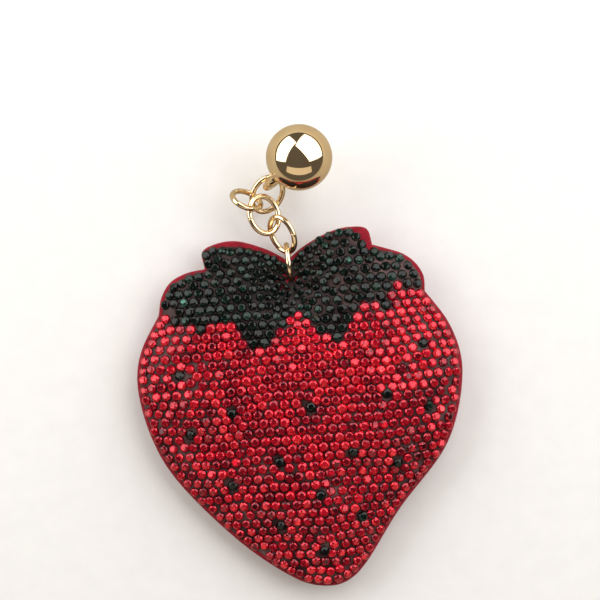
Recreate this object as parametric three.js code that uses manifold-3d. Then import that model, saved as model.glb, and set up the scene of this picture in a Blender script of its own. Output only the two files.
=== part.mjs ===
// A flat stuffed strawberry charm on a short gold chain, lying on its back with the chain laid out
// above it. Its front is covered with flat-backed crystals, and a polished ball closes the key ring.
// Millimetres. The origin is on the surface that it lies on, under the middle of its box: +X is to
// the right and +Y towards the ball, as seen from above, and +Z is up.

import * as THREE from 'three';
import { mergeVertices } from 'three/addons/utils/BufferGeometryUtils.js';
import Module from 'manifold-3d';

const wasm = await Module();
wasm.setup();

// Driving dimensions of the pad
const CLEARANCE = 0.3; // between pieces that touch
const SEAM_HEIGHT = 6.4; // of the plane where the two panels meet
const CLOTH = 0.8; // thickness of each panel
const FRONT_RISE = 7.4; // of the front over the seam plane, at the middle
const FRONT_REACH = 31; // distance from the rim at which the front stops rising
const BACK_REACH = 15; // distance from the rim at which the back lies flat
const FILM = 0.3; // thickness of the adhesive film
const FILM_INSET = 2.0; // bare cloth left round the film
const CRYSTAL_WIDTH = 2.8;
const CRYSTAL_TABLE = 1.6; // width of a crystal's flat top
const CRYSTAL_HEIGHT = 1.1;
const CRYSTAL_INSET = 2.3; // bare cloth left round the crystals
const STUFFING_INSET = 2.4;
const THREAD_INSET = 1.3;
const THREAD_RADIUS = 0.3;
const DIMPLE_RADIUS = 9; // of the dip that the jump ring pulls into the pad
const DIMPLE_DEPTH = 0.75; // share of the swelling that the dip takes away at its middle

// Driving dimensions of the chain
const JUMP_RADIUS = 5.2; // of the middle of the jump ring's wire
const JUMP_WIRE = 0.8; // radius
const LINK_LENGTH = 12.8; // outside
const LINK_WIDTH = 10.2; // outside
const LINK_WIRE = 0.875; // radius
const KEY_RADIUS = 10.3; // of the middle of the key ring's wire
const KEY_WIRE = 1.2; // radius
const KEY_GAP = 8; // half of the angle that the ends of the key ring leave open, degrees
const BALL_RADIUS = 9.5;
const BALL_WALL = 0.9;
const SLEEVE_RADIUS = 2.9;
const SLEEVE_LENGTH = 7;

// The rim of the pad, seen from above: runs of smooth curve from one sharp corner to the next,
// anticlockwise from the notch at the top.
const OUTLINE_RUNS = [
  [[-3.7, 28.3], [-8.6, 31.0], [-18.5, 33.9], [-26.8, 32.3], [-29.0, 29.1], [-27.8, 25.7]],
  [[-27.8, 25.7], [-35.0, 23.8], [-39.8, 19.4], [-41.3, 12.0]],
  [
    [-41.3, 12.0], [-46.4, 1.5], [-47.4, -9.0], [-43.5, -23.3], [-35.9, -36.1], [-20.5, -51.5],
    [-6.5, -61.8], [5.5, -66.8], [16.7, -63.4], [29.3, -44.2], [43.2, -25.0], [47.6, -5.2],
    [44.4, 8.6], [36.6, 19.3],
  ],
  [[36.6, 19.3], [36.2, 23.8], [31.5, 29.6], [21.2, 32.9]],
  [[21.2, 32.9], [19.5, 37.6], [11.4, 37.6], [2.2, 33.2], [-3.7, 28.3]],
];
const OUTLINE_STEP = 5; // between neighbouring points of the rim

// The edge between the leaves and the berry, from left to right: tips and the notches between them
const LEAF_EDGE = [
  [-60, 13.8], [-40.8, 13.8], [-28.7, 8.3], [-21.7, 12.3], [-12.3, 2.5], [-2.0, 15.5],
  [12.2, 5.7], [18.0, 17.5], [25.3, 15.2], [25.0, 22.8], [34.9, 22.8], [60, 22.8],
];

// The dark crystals that stand for the berry's seeds
const SEEDS = [
  [35.6, 4.3], [-34.7, -5.2], [25.2, -10.2], [-19.5, -16.1], [3.2, -14.1], [37.4, -13.8],
  [-31.6, -22.5], [15.4, -27.1], [-5.7, -29.9], [28.5, -30.6], [-19.3, -37.0], [6.0, -39.6],
  [18.3, -46.0], [-5.3, -48.6], [7.3, -56.0],
];

const PAD_MIDDLE = new THREE.Vector2(0, -8); // every point of the rim can be seen from here
const PAD_RINGS = [0.3, 0.58, 0.78, 0.88]; // the inner rings of every layer's grid, as shares of the rim
const PANEL_RING = 0.95; // one more on the panels, which reach the rim
const BACK_DROP = SEAM_HEIGHT - CLEARANCE / 2 - CLOTH; // of the back under the seam plane
const FRONT_TOP = SEAM_HEIGHT + CLEARANCE / 2 + CLOTH; // the front panel's face at the rim
const FILM_BASE = FRONT_TOP + CLEARANCE;
const CRYSTAL_BASE = FILM_BASE + FILM + CLEARANCE;

const MATERIALS = {
  suede: new THREE.MeshStandardMaterial({ color: 0x9c1226, roughness: 0.92, metalness: 0 }),
  fibre: new THREE.MeshStandardMaterial({ color: 0xece8e0, roughness: 1, metalness: 0 }),
  thread: new THREE.MeshStandardMaterial({ color: 0x7d0f1f, roughness: 0.85, metalness: 0 }),
  film: new THREE.MeshStandardMaterial({ color: 0x8a7573, roughness: 0.5, metalness: 0 }),
  red: new THREE.MeshStandardMaterial({ color: 0xc0091f, roughness: 0.12, metalness: 0.1 }),
  green: new THREE.MeshStandardMaterial({ color: 0x0b2a22, roughness: 0.12, metalness: 0.1 }),
  gold: new THREE.MeshStandardMaterial({ color: 0xe3bd84, roughness: 0.12, metalness: 1 }),
  brass: new THREE.MeshStandardMaterial({ color: 0xb08d4a, roughness: 0.4, metalness: 1 }),
};

const object = new THREE.Group();

function addPiece(name, geometry, material) {
  const mesh = new THREE.Mesh(geometry, material.clone());
  mesh.name = name;
  object.add(mesh);
  return mesh;
}

// Solids

function toSolid(geometry) {
  const bare = geometry.clone();
  bare.deleteAttribute('normal');
  bare.deleteAttribute('uv');
  const merged = mergeVertices(bare, 1e-4);
  return new wasm.Manifold(new wasm.Mesh({
    numProp: 3,
    vertProperties: new Float32Array(merged.attributes.position.array),
    triVerts: new Uint32Array(merged.index.array),
  }));
}

function toGeometry(solid) {
  const mesh = solid.getMesh();
  const geometry = new THREE.BufferGeometry();
  geometry.setAttribute('position', new THREE.BufferAttribute(mesh.vertProperties, 3));
  geometry.setIndex(new THREE.BufferAttribute(mesh.triVerts, 1));
  geometry.computeVertexNormals();
  return geometry;
}

// The pad's rim and swelling

function sampleRun(points) {
  const curve = new THREE.SplineCurve(points.map(([x, y]) => new THREE.Vector2(x, y)));
  const steps = Math.max(3, Math.round(curve.getLength() / OUTLINE_STEP));
  return curve.getSpacedPoints(steps).slice(0, -1); // the next run starts at the last point
}

const rim = OUTLINE_RUNS.flatMap(sampleRun);

function distanceToRim(point) {
  let nearest = Infinity;
  rim.forEach((a, i) => {
    const along = rim[(i + 1) % rim.length].clone().sub(a);
    const from = point.clone().sub(a);
    const share = THREE.MathUtils.clamp(from.dot(along) / along.lengthSq(), 0, 1);
    nearest = Math.min(nearest, from.addScaledVector(along, -share).length());
  });
  return nearest;
}

// The rim moved inwards: on the line from each of its points to the pad's middle, the outermost
// place that keeps the inset from the whole rim.
function insetRim(inset) {
  if (inset === 0) return rim;
  return rim.map((corner) => {
    let inside = 0;
    let outside = 1;
    for (let i = 0; i < 24; i++) {
      const share = (inside + outside) / 2;
      const here = PAD_MIDDLE.clone().lerp(corner, share);
      if (distanceToRim(here) >= inset) inside = share;
      else outside = share;
    }
    return PAD_MIDDLE.clone().lerp(corner, inside);
  });
}

const jumpHole = new THREE.Vector2(-2.7, 22.6); // where the jump ring goes through the seam plane

// 0 at the rim, rising to 1 at the given distance from it, and held down round the jump ring
function swelling(point, reach) {
  const share = Math.min(1, distanceToRim(point) / reach);
  const rise = 1 - (1 - share) ** 2.2;
  const dip = DIMPLE_DEPTH * Math.exp(-((point.distanceTo(jumpHole) / DIMPLE_RADIUS) ** 2));
  return rise * (1 - dip);
}

const frontSwell = (point) => FRONT_RISE * swelling(point, FRONT_REACH);
const backSwell = (point) => BACK_DROP * swelling(point, BACK_REACH);

// A closed layer of the pad between two heights, each a function of the place
function layer(inset, bottom, top) {
  const shares = inset === 0 ? [...PAD_RINGS, PANEL_RING] : PAD_RINGS;
  const rings = shares.map((share) => rim.map((corner) => PAD_MIDDLE.clone().lerp(corner, share)));
  rings.push(insetRim(inset));
  const places = [PAD_MIDDLE, ...rings.flat()];
  const count = rim.length;
  const positions = [];
  for (const height of [bottom, top]) {
    for (const place of places) positions.push(place.x, place.y, height(place));
  }
  const index = [];
  const upper = places.length;
  const addFace = (a, b, c) => {
    index.push(upper + a, upper + b, upper + c);
    index.push(a, c, b);
  };
  for (let i = 0; i < count; i++) {
    const j = (i + 1) % count;
    addFace(0, 1 + i, 1 + j);
    for (let ring = 1; ring < rings.length; ring++) {
      const inner = 1 + (ring - 1) * count;
      const outer = 1 + ring * count;
      addFace(inner + i, outer + i, outer + j);
      addFace(inner + i, outer + j, inner + j);
    }
    const last = 1 + (rings.length - 1) * count;
    index.push(last + i, last + j, upper + last + j);
    index.push(last + i, upper + last + j, upper + last + i);
  }
  const geometry = new THREE.BufferGeometry();
  geometry.setAttribute('position', new THREE.Float32BufferAttribute(positions, 3));
  geometry.setIndex(index);
  return geometry;
}

// Rings and links. A loop is an ellipse of wire with its own frame: middle, the direction of its
// long axis, and the direction that its plane faces.

class Oval extends THREE.Curve {
  constructor(halfLength, halfWidth, start = 0, end = 360) {
    super();
    this.size = [halfLength, halfWidth];
    this.angles = [start, end].map(THREE.MathUtils.degToRad);
  }
  getPoint(t, target = new THREE.Vector3()) {
    const angle = THREE.MathUtils.lerp(...this.angles, t);
    return target.set(this.size[0] * Math.cos(angle), this.size[1] * Math.sin(angle), 0);
  }
}

function frameOf({ middle, along, facing }) {
  const z = new THREE.Vector3(...facing).normalize();
  const x = new THREE.Vector3(...along);
  x.addScaledVector(z, -x.dot(z)).normalize();
  const y = new THREE.Vector3().crossVectors(z, x);
  return new THREE.Matrix4().makeBasis(x, y, z).setPosition(...middle);
}

function loop(place, halfLength, halfWidth, wire, steps, sides) {
  const curve = new Oval(halfLength, halfWidth);
  return new THREE.TubeGeometry(curve, steps, wire, sides, true).applyMatrix4(frameOf(place));
}

// Chain layout: each loop's middle, the direction of its long axis and the way its plane faces
const JUMP_RING = { middle: [-3.3, 27.7, SEAM_HEIGHT], along: [-0.122, 0.993, 0], facing: [0.993, 0.122, 0] };
const LINKS = [
  { middle: [-5.1, 35.8, 8.7], along: [-0.32, 0.9, 0.3], facing: [-0.59, -0.43, 0.68] },
  { middle: [-10.4, 41.5, 8.7], along: [-0.29, 0.96, -0.01], facing: [0.27, 0.09, 0.96] },
  { middle: [-15.5, 45.8, 9.8], along: [0.37, 0.27, -0.89], facing: [0.43, 0.8, 0.42] },
  { middle: [-9.5, 47.6, 6.5], along: [0.49, 0.84, 0.23], facing: [0.18, -0.35, 0.92] },
];
const KEY_HEADING = 220; // direction in which the key ring leans out from under the ball, degrees
const KEY_LEAN = 1.9; // distance of the ring's middle from below the ball's
const BALL_PLACE = [-0.2, 57.4];

// Pad

const channel = toSolid(loop(JUMP_RING, JUMP_RADIUS, JUMP_RADIUS, JUMP_WIRE + CLEARANCE, 32, 10));

function addPadPiece(name, solid, material) {
  addPiece(name, toGeometry(solid.subtract(channel)), material);
}

function addPadLayer(name, inset, bottom, top, material) {
  addPadPiece(name, toSolid(layer(inset, bottom, top)), material);
}

const frontAt = (height) => (point) => height + frontSwell(point);
const backAt = (height) => (point) => height - backSwell(point);

addPadLayer('back_panel', 0, backAt(BACK_DROP), backAt(BACK_DROP + CLOTH), MATERIALS.suede);
addPadLayer('front_panel', 0, frontAt(FRONT_TOP - CLOTH), frontAt(FRONT_TOP), MATERIALS.suede);
addPadLayer(
  'stuffing', STUFFING_INSET,
  backAt(SEAM_HEIGHT + CLEARANCE), frontAt(SEAM_HEIGHT - CLEARANCE), MATERIALS.fibre,
);
addPadLayer('crystal_film', FILM_INSET, frontAt(FILM_BASE), frontAt(FILM_BASE + FILM), MATERIALS.film);

const threadPath = new THREE.CatmullRomCurve3(
  insetRim(THREAD_INSET).map(({ x, y }) => new THREE.Vector3(x, y, SEAM_HEIGHT)), true,
);
addPiece('seam_thread', new THREE.TubeGeometry(threadPath, 90, THREAD_RADIUS, 5, true), MATERIALS.thread);

// Everything above the edge of the leaves, with that edge moved out towards the berry
function leafRegion(distance) {
  const edge = LEAF_EDGE.map(([x, y]) => new THREE.Vector2(x, y));
  const across = edge.slice(1).map((end, i) => {
    const run = end.clone().sub(edge[i]).normalize();
    return new THREE.Vector2(run.y, -run.x);
  });
  const moved = edge.map((corner, i) => {
    const before = across[Math.max(0, i - 1)];
    const after = across[Math.min(across.length - 1, i)];
    const mitre = before.clone().add(after).divideScalar(1 + before.dot(after));
    return corner.clone().addScaledVector(mitre, distance);
  });
  const shape = new THREE.Shape(moved);
  shape.lineTo(60, 60);
  shape.lineTo(-60, 60);
  return toSolid(new THREE.ExtrudeGeometry(shape, { depth: 40, bevelEnabled: false }));
}

function pocket([x, y]) {
  const radius = CRYSTAL_WIDTH / 2 + CLEARANCE;
  const drill = new THREE.CylinderGeometry(radius, radius, 40, 12).rotateX(Math.PI / 2);
  return toSolid(drill.translate(x, y, 20));
}

const crystals = toSolid(
  layer(CRYSTAL_INSET, frontAt(CRYSTAL_BASE), frontAt(CRYSTAL_BASE + CRYSTAL_HEIGHT)),
);
const berry = crystals.subtract(leafRegion(CLEARANCE));
addPadPiece('leaf_crystals', crystals.intersect(leafRegion(0)), MATERIALS.green);
addPadPiece('berry_crystals', wasm.Manifold.difference([berry, ...SEEDS.map(pocket)]), MATERIALS.red);

// One flat-backed crystal, standing on its back at the origin
const crystalProfile = [
  [0, 0], [CRYSTAL_WIDTH / 2, 0], [CRYSTAL_WIDTH / 2, 0.2], [CRYSTAL_TABLE / 2, CRYSTAL_HEIGHT],
  [0, CRYSTAL_HEIGHT],
].map(([x, y]) => new THREE.Vector2(x, y));
const crystal = new THREE.LatheGeometry(crystalProfile, 8).rotateX(Math.PI / 2);

function faceOfFront({ x, y }) {
  const step = 1.5;
  const slope = (dx, dy) => (
    frontSwell(new THREE.Vector2(x + dx, y + dy)) - frontSwell(new THREE.Vector2(x - dx, y - dy))
  ) / (2 * step);
  return new THREE.Vector3(-slope(step, 0), -slope(0, step), 1).normalize();
}

SEEDS.forEach(([x, y], i) => {
  const place = new THREE.Vector2(x, y);
  const number = String(i + 1).padStart(2, '0');
  const seed = addPiece(`seed_crystal_${number}`, crystal, MATERIALS.green);
  seed.position.set(x, y, CRYSTAL_BASE + frontSwell(place));
  seed.quaternion.setFromUnitVectors(new THREE.Vector3(0, 0, 1), faceOfFront(place));
});

// Chain

addPiece('jump_ring', loop(JUMP_RING, JUMP_RADIUS, JUMP_RADIUS, JUMP_WIRE, 28, 8), MATERIALS.gold);

LINKS.forEach((place, i) => {
  const halfLength = LINK_LENGTH / 2 - LINK_WIRE;
  const halfWidth = LINK_WIDTH / 2 - LINK_WIRE;
  const link = loop(place, halfLength, halfWidth, LINK_WIRE, 26, 8);
  addPiece(`link_${i + 1}`, link, MATERIALS.gold);
});

// Key ring and ball: the ring stands on edge, and the ball closes it at the top

const heading = THREE.MathUtils.degToRad(KEY_HEADING);
const outwards = new THREE.Vector3(Math.cos(heading), Math.sin(heading), 0);
const ringMiddle = new THREE.Vector3(...BALL_PLACE, KEY_RADIUS + KEY_WIRE)
  .addScaledVector(outwards, KEY_LEAN);
const ballMiddle = new THREE.Vector3(
  ...BALL_PLACE, ringMiddle.z + Math.sqrt(KEY_RADIUS ** 2 - KEY_LEAN ** 2),
);
const KEY_RING = {
  middle: ringMiddle.toArray(),
  along: ballMiddle.clone().sub(ringMiddle).toArray(),
  facing: outwards.clone().cross(new THREE.Vector3(0, 0, 1)).toArray(),
};

const wireSection = new THREE.Shape().absarc(0, 0, KEY_WIRE, 0, 2 * Math.PI);
const keyRing = new THREE.ExtrudeGeometry(wireSection, {
  steps: 36,
  curveSegments: 5,
  bevelEnabled: false,
  extrudePath: new Oval(KEY_RADIUS, KEY_RADIUS, KEY_GAP, 360 - KEY_GAP),
}).applyMatrix4(frameOf(KEY_RING));
addPiece('key_ring', keyRing, MATERIALS.gold);

const bore = toSolid(loop(KEY_RING, KEY_RADIUS, KEY_RADIUS, KEY_WIRE + CLEARANCE, 40, 10));

// A half shell over the XY plane, standing off it by half of the clearance
function halfShell() {
  const arc = (radius, from, to) => Array.from({ length: 8 }, (_, i) => {
    const start = Math.asin(CLEARANCE / 2 / radius);
    const angle = THREE.MathUtils.lerp(from, to, i / 7) * (Math.PI / 2 - start) + start;
    return new THREE.Vector2(radius * Math.cos(angle), radius * Math.sin(angle));
  });
  const profile = [...arc(BALL_RADIUS - BALL_WALL, 1, 0), ...arc(BALL_RADIUS, 0, 1)];
  return new THREE.LatheGeometry(profile, 22).rotateX(Math.PI / 2);
}

const upperShell = toSolid(halfShell().translate(...ballMiddle));
const lowerShell = toSolid(halfShell().rotateX(Math.PI).translate(...ballMiddle));
addPiece('ball_half_upper', toGeometry(upperShell), MATERIALS.gold);
addPiece('ball_half_lower', toGeometry(lowerShell.subtract(bore)), MATERIALS.gold);

const sleeveAxis = new THREE.Vector3(...KEY_RING.facing).cross(new THREE.Vector3(...KEY_RING.along));
const sleeve = new THREE.CylinderGeometry(SLEEVE_RADIUS, SLEEVE_RADIUS, SLEEVE_LENGTH, 20);
sleeve.applyQuaternion(
  new THREE.Quaternion().setFromUnitVectors(new THREE.Vector3(0, 1, 0), sleeveAxis.normalize()),
);
const sleeveSolid = toSolid(sleeve.translate(...ballMiddle)).subtract(bore);
addPiece('ball_sleeve', toGeometry(sleeveSolid), MATERIALS.brass);

export default object;
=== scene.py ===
# A flat stuffed strawberry charm of red suede, its front covered with glued crystals, on a short
# chain of gold links that ends in a ring closed by a polished ball. Lengths in the functions are in
# millimetres in the row frame, and meshes are made in metres.
import math

import bpy
import numpy as np
from mathutils import Matrix, Vector, noise
from mathutils.bvhtree import BVHTree
from mathutils.kdtree import KDTree


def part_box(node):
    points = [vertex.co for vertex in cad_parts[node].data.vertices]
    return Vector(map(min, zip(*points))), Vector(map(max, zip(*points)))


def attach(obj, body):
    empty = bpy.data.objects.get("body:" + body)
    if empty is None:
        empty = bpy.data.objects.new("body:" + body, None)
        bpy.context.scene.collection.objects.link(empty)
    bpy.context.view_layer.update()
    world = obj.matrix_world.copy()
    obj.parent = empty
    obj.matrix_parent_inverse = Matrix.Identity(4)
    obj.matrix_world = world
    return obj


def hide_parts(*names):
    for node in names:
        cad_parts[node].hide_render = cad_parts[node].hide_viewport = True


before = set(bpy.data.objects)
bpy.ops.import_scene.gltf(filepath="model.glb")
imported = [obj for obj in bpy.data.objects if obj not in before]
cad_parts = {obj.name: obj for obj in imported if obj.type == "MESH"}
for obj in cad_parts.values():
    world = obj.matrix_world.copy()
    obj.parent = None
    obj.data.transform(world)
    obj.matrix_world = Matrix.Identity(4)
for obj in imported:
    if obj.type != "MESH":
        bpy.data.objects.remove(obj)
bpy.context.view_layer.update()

MM = 0.001
random = np.random.default_rng(11)

# Pad
CLOTH = 0.8  # thickness of each panel
PAD_MIDDLE = np.array([0.0, -8.0])  # every point of the rim can be seen from here
SLACK_RISE = 0.88  # the share of the front's swelling that it has before the cloth is simulated
FRONT_REACH = 31.0  # distance from the rim at which the front stops rising
BACK_REACH = 15.0  # distance from the rim at which the back lies flat
DIMPLE_RADIUS = 9.0
DIMPLE_DEPTH = 0.75
EDGE_ROUND = 0.8  # radius of the folded edge
EDGE_FADE = 5  # from the rim inwards, the lumps, folds and the cloth's rise fade in over this
SWELL_POWER = 2.2  # how quickly the swelling rises from the rim
LUMP_RISE, LUMP_SIZE = 0.45, 15  # large lumps of the filling
FINE_RISE, FINE_SIZE = 0.12, 5  # small ones
FOLD_RISE, FOLD_COUNT, FOLD_REACH = 0.75, 9, 9  # folds round the jump ring's hole
PUCKER_RISE, PUCKER_PITCH, PUCKER_REACH = 0.09, 3.1, 1.5  # gathers at the seam
BACK_FLAT = 0.15  # height of the flat back over the surface, before the cloth is simulated
BACK_FOLDS = 0.3  # the share of the folds that the back has
BACK_LOWEST = 0.05  # the back stays at least this high, and its gathers at least 0.02
SEAM_GAP = 0.1  # from the seam plane to each panel's inner face
RIM_LAP = 0.35  # how far each panel's inner face turns towards the other one's at the rim
FILL_INSET = 2.2  # from the rim to the filling
FILL_GAP = 0.12  # between the filling and the cloth
FILM_INSET = 1.1  # bare cloth left round the adhesive film
FILM = 0.18  # thickness of the film
FILM_GAP = 0.03  # between the film and the cloth
HELD_RADIUS = 2.2  # of the cloth that the jump ring's hole holds still
# Stones
STONE_WIDTH = 3.05
STONE_INSET = 0.85  # from the rim to the region that the stones share
STONE_PITCH = 3.12  # between neighbouring stones' middles, where nothing makes them closer
STONE_SINK = 0.05  # how deep a stone's back lies in the film
STONE_CLEAR = 0.1  # between a stone and the jump ring's wire
LEAF_LEAD = 0.9  # how much nearer to the berry field a stone may be and still be the leaf's
# Where the crystals and the film stop further from the rim, or nearer to it: x, y, reach, change
EDGE_PATCHES = (
    (20.4, 36.8, 3.6, 2.7),
    (-19, 33, 8, 0.6),
    (8, 36.5, 6.5, -1.3),
    (-28, 29.5, 3.5, -1),
    (26, 32.5, 4.5, -0.5),
)
# Chain. The thin wires are a little thinner than in CAD, to stay clear at the joints' limits
JUMP_RADIUS = 5.2  # of the middle of the jump ring's wire
JUMP_WIRE = 0.78  # radius
LINK_HALF = (5.525, 4.225)  # half of a link's length and width, to the middle of its wire
LINK_WIRE = 0.82  # radius
KEY_RADIUS = 10.3  # of the middle of the key ring's wire
KEY_WIRE = 1.2  # radius
KEY_GAP = 8.0  # half of the angle that the key ring's ends leave open, degrees
JOIN_SPAN, JOIN_STEPS = 0.12, 25  # half of the finely divided stretch round a join, radians
JOIN_CLEAR = 0.125  # the other divisions stay this far from the join, radians
JOIN_DEPTH, JOIN_WIDTH = 0.10, 0.09  # of the groove where a loop's ends meet
END_BEVEL = 0.8  # the share of the wire's radius that is left at a cut end
CHANNEL_CLEAR = 0.2  # round the jump ring's wire, through the pad
BORE_CLEAR = 0.15  # round the key ring's wire, through the ball
BALL_WALL = 0.9


# ------------------------ helpers


def box_of(node):
    lo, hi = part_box(node)
    return np.array(lo) / MM, np.array(hi) / MM


def corners_of(node):
    """The corners of a CAD node's mesh."""
    return np.array([v.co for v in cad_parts[node].data.vertices], float) / MM


def tree_of(node):
    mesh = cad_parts[node].data
    return BVHTree.FromPolygons(
        [v.co / MM for v in mesh.vertices], [tuple(p.vertices) for p in mesh.polygons]
    )


def make(name, points, faces, material, smooth=True):
    """A mesh object from points in millimetres."""
    mesh = bpy.data.meshes.new(name)
    mesh.from_pydata((np.asarray(points) * MM).tolist(), [], [list(f) for f in faces])
    mesh.polygons.foreach_set("use_smooth", [smooth] * len(mesh.polygons))
    mesh.materials.append(material)
    mesh.update()
    obj = bpy.data.objects.new(name, mesh)
    bpy.context.scene.collection.objects.link(obj)
    return obj


def mount(obj, body, slot, *nodes):
    """Lets obj ride on a body, in place of the CAD nodes. The slot is not used."""
    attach(obj, body)
    if nodes:
        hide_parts(*nodes)
    return obj


def baked(obj):
    """The obj's mesh as its modifiers leave it."""
    graph = bpy.context.evaluated_depsgraph_get()
    return bpy.data.meshes.new_from_object(obj.evaluated_get(graph))


def cut(obj, cutter):
    """Takes the cutter's volume out of obj."""
    change = obj.modifiers.new("cut", "BOOLEAN")
    change.operation, change.solver, change.object = "DIFFERENCE", "MANIFOLD", cutter
    mesh = baked(obj)
    obj.modifiers.clear()
    obj.data = mesh


def unit(v):
    return v / np.linalg.norm(v, axis=-1, keepdims=True)


# ------------------------ materials


class Paint:
    """A material with a Principled shader and short ways to add nodes."""

    def __init__(self, name, **fixed):
        self.material = bpy.data.materials.new(name)
        self.material.use_nodes = True
        self.tree = self.material.node_tree
        self.shader = next(n for n in self.tree.nodes if n.type == "BSDF_PRINCIPLED")
        for key, value in fixed.items():
            self.shader.inputs[key.replace("_", " ")].default_value = value
        self.place = self.add("ShaderNodeTexCoord").outputs["Object"]

    def add(self, kind, **settings):
        node = self.tree.nodes.new(kind)
        for key, value in settings.items():
            setattr(node, key, value)
        return node

    def link(self, a, b):
        self.tree.links.new(a, b)

    def grain(self, size, detail=3.0, stretch=None, rough=0.55):
        """Noise whose features are about size millimetres across."""
        node = self.add("ShaderNodeTexNoise")
        node.inputs["Scale"].default_value = 1 / (size * MM)
        node.inputs["Detail"].default_value = detail
        node.inputs["Roughness"].default_value = rough
        place = self.place
        if stretch:
            mapping = self.add("ShaderNodeMapping")
            mapping.inputs["Scale"].default_value = stretch
            self.link(place, mapping.inputs["Vector"])
            place = mapping.outputs["Vector"]
        self.link(place, node.inputs["Vector"])
        return node.outputs["Fac"]

    def ramp(self, value, *stops):
        """Colours or greys between stops of (place, colour)."""
        node = self.add("ShaderNodeValToRGB")
        band = node.color_ramp
        while len(band.elements) < len(stops):
            band.elements.new(0.5)
        for element, (at, colour) in zip(band.elements, stops):
            element.position = at
            grey = isinstance(colour, (int, float))
            element.color = (colour,) * 3 + (1,) if grey else (*colour, 1)
        self.link(value, node.inputs["Fac"])
        return node.outputs["Color"]

    def mix(self, share, a, b, kind="MIX"):
        node = self.add("ShaderNodeMix", data_type="RGBA", blend_type=kind)
        for socket, value in ((0, share), (6, a), (7, b)):
            if isinstance(value, bpy.types.NodeSocket):
                self.link(value, node.inputs[socket])
            elif socket:
                node.inputs[socket].default_value = (*value, 1)
            else:
                node.inputs[socket].default_value = value
        return node.outputs[2]

    def colour(self, socket):
        self.link(socket, self.shader.inputs["Base Color"])

    def roughness(self, socket):
        self.link(socket, self.shader.inputs["Roughness"])

    def bump(self, height, depth, strength=1.0):
        """Relief of the given depth in millimetres."""
        node = self.add("ShaderNodeBump")
        node.inputs["Distance"].default_value = depth * MM
        node.inputs["Strength"].default_value = strength
        self.link(height, node.inputs["Height"])
        old = self.shader.inputs["Normal"].links
        if old:
            self.link(old[0].from_socket, node.inputs["Normal"])
        self.link(node.outputs["Normal"], self.shader.inputs["Normal"])


def suede_paint():
    paint = Paint("red_suede", Roughness=0.93, Specular_IOR_Level=0.25)
    paint.shader.inputs["Sheen Weight"].default_value = 0.22
    paint.shader.inputs["Sheen Roughness"].default_value = 0.5
    paint.shader.inputs["Sheen Tint"].default_value = (1.0, 0.32, 0.36, 1)
    nap = paint.grain(0.32, 4, rough=0.7)
    blotch = paint.grain(4.5, 3)
    fine = paint.ramp(nap, (0.32, (0.125, 0.003, 0.010)), (0.68, (0.44, 0.010, 0.030)))
    worn = paint.ramp(blotch, (0.35, (0.72, 0.66, 0.7)), (0.65, (1.0, 1.0, 1.0)))
    paint.colour(paint.mix(1.0, fine, worn, "MULTIPLY"))
    paint.bump(nap, 0.12, 0.9)
    paint.bump(blotch, 0.2, 0.5)
    return paint.material


def fibre_paint():
    paint = Paint("stuffing_fibre", Roughness=1.0)
    strands = paint.grain(0.5, 5, stretch=(1, 0.25, 1))
    paint.colour(paint.ramp(strands, (0.3, (0.62, 0.6, 0.56)), (0.7, (0.9, 0.89, 0.86))))
    paint.bump(strands, 0.3)
    return paint.material


def thread_paint():
    paint = Paint("red_thread", Roughness=0.7)
    wave = paint.add("ShaderNodeTexWave", wave_type="BANDS", bands_direction="DIAGONAL")
    wave.inputs["Scale"].default_value = 900
    wave.inputs["Distortion"].default_value = 1.5
    paint.link(paint.place, wave.inputs["Vector"])
    ply = wave.outputs["Fac"]
    paint.colour(paint.ramp(ply, (0.1, (0.10, 0.003, 0.010)), (0.9, (0.33, 0.012, 0.03))))
    paint.bump(ply, 0.06)
    return paint.material


def film_paint():
    paint = Paint("glue_film", Roughness=0.45, Specular_IOR_Level=0.15)
    clouds = paint.grain(7, 3)
    specks = paint.grain(0.5, 4, rough=0.7)
    base = paint.ramp(
        clouds,
        (0.36, (0.035, 0.015, 0.016)),
        (0.5, (0.075, 0.04, 0.04)),
        (0.66, (0.16, 0.10, 0.096)),
    )
    tint = paint.ramp(specks, (0.35, (0.62, 0.55, 0.55)), (0.65, (1.0, 0.96, 0.96)))
    # painted shade from the mesh, darkest in the dip
    painted_shade = paint.add("ShaderNodeAttribute", attribute_name="tone").outputs["Color"]
    paint.colour(paint.mix(1.0, paint.mix(1.0, base, tint, "MULTIPLY"), painted_shade, "MULTIPLY"))
    paint.roughness(paint.ramp(specks, (0.3, 0.28), (0.7, 0.5)))
    paint.bump(specks, 0.06)
    return paint.material


def stone_paint(name, metal, coat_ior):
    """Foil-backed glass: each facet's tone is in the mesh, the glass's own hue with the painted
    light and shade of inner reflections, and a clear coat mirrors the lights.
    """
    paint = Paint(name, Roughness=0.16, Metallic=metal, IOR=1.5, Specular_IOR_Level=0.05)
    paint.shader.inputs["Coat Weight"].default_value = 1.0
    paint.shader.inputs["Coat Roughness"].default_value = 0.03
    paint.shader.inputs["Coat IOR"].default_value = coat_ior
    tone = paint.add("ShaderNodeAttribute", attribute_name="tone").outputs["Color"]
    dust = paint.ramp(paint.grain(0.35, 3), (0.35, (0.82, 0.82, 0.82)), (0.6, (1.0, 1.0, 1.0)))
    paint.colour(paint.mix(1.0, tone, dust, "MULTIPLY"))
    return paint.material


def metal_paint(name, dark, light, smooth, rough):
    paint = Paint(name, Metallic=1.0, Roughness=smooth)
    cloud = paint.grain(5, 2)
    scratch = paint.grain(0.25, 4, stretch=(1, 0.12, 0.4))
    paint.colour(paint.ramp(cloud, (0.3, dark), (0.7, light)))
    paint.roughness(paint.ramp(scratch, (0.35, smooth), (0.75, rough)))
    paint.bump(scratch, 0.0015, 0.4)
    return paint.material


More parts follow.
